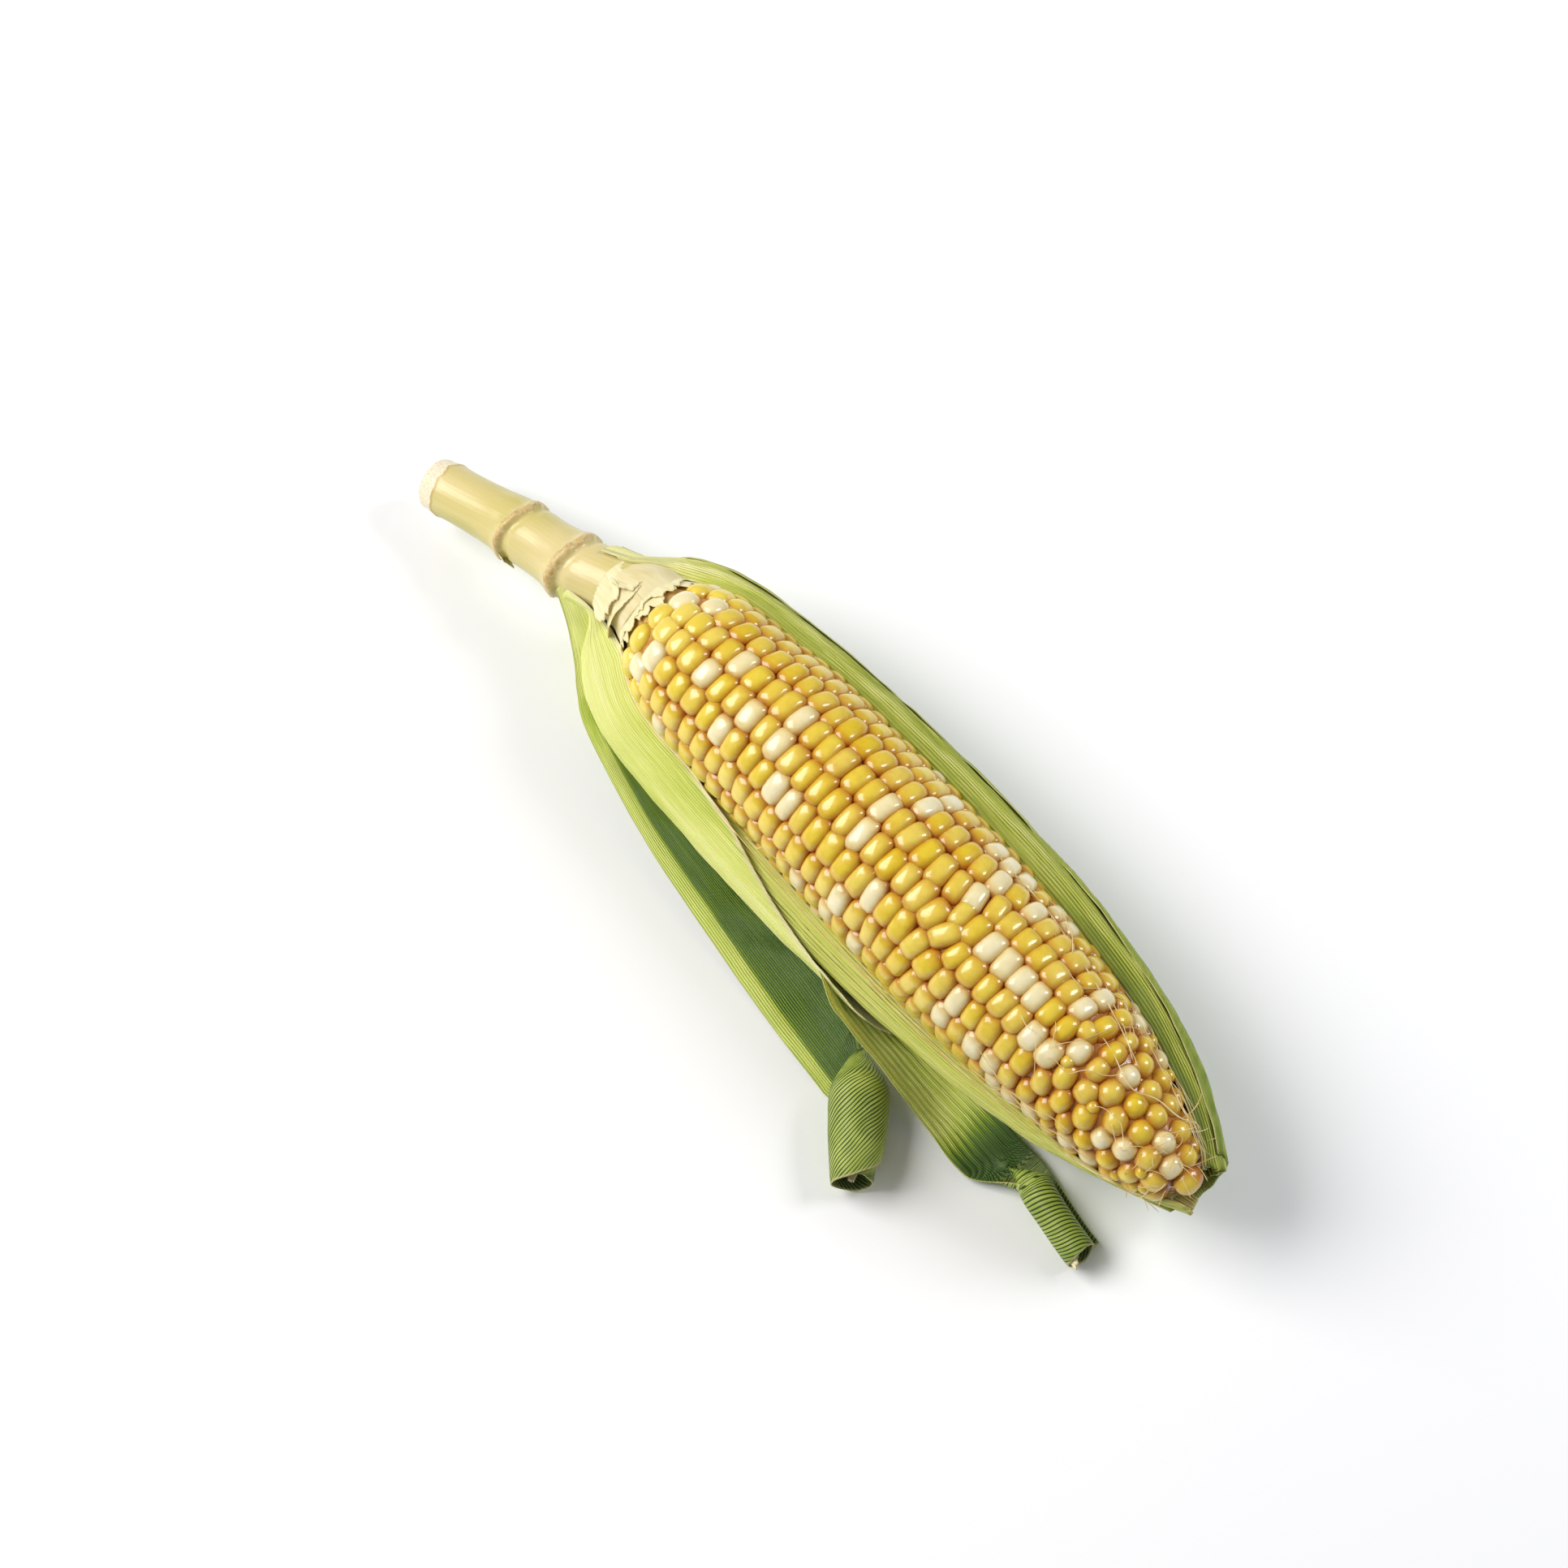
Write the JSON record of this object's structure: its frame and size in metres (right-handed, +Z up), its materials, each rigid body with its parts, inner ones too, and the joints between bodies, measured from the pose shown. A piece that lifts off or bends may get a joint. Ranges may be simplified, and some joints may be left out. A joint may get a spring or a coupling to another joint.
{
  "type": "corn cob",
  "caption": "Ear of sweet corn with its shank, lying in its opened husk, with curled outer leaves and silk threads on the kernels.",
  "frame": {"origin": "middle of the bounding box's footprint, on the surface that the husk lies on", "axes": "+X along the ear from the shank to the tip, +Z up from the surface, +Y to the side where the far husk leaves stand"},
  "size_m": [0.2926, 0.0976, 0.0549],
  "materials": {
    "kernels": "golden and cream kernels, waxy gloss",
    "shank": "green stem, satin",
    "torn_husk": "dry torn leaf, matt",
    "husk_green": "fresh ribbed leaf, satin",
    "husk_pale": "pale ribbed inner leaf, satin",
    "husk_dark": "dark green ribbed leaf, satin",
    "silk": "straw-coloured threads, soft sheen"
  },
  "bodies": {
    "root": {"ear_kernels": "kernels", "shank": "shank", "shank_sheath_stub": "torn_husk", "torn_stub_near": "torn_husk", "torn_stub_far": "torn_husk", "husk_far_outer": "husk_green", "husk_far_inner": "husk_green", "husk_far_membrane": "husk_pale", "husk_near_outer": "husk_pale", "husk_near_inner": "husk_green", "husk_near_curled": "husk_dark", "husk_long_rolled": "husk_dark", "husk_inner_under": "husk_pale", "silk_near_edge": "silk", "silk_far_long": "silk", "silk_far_loop": "silk", "silk_tip_upper": "silk", "silk_tip_lower": "silk"}
  },
  "joints": []
}
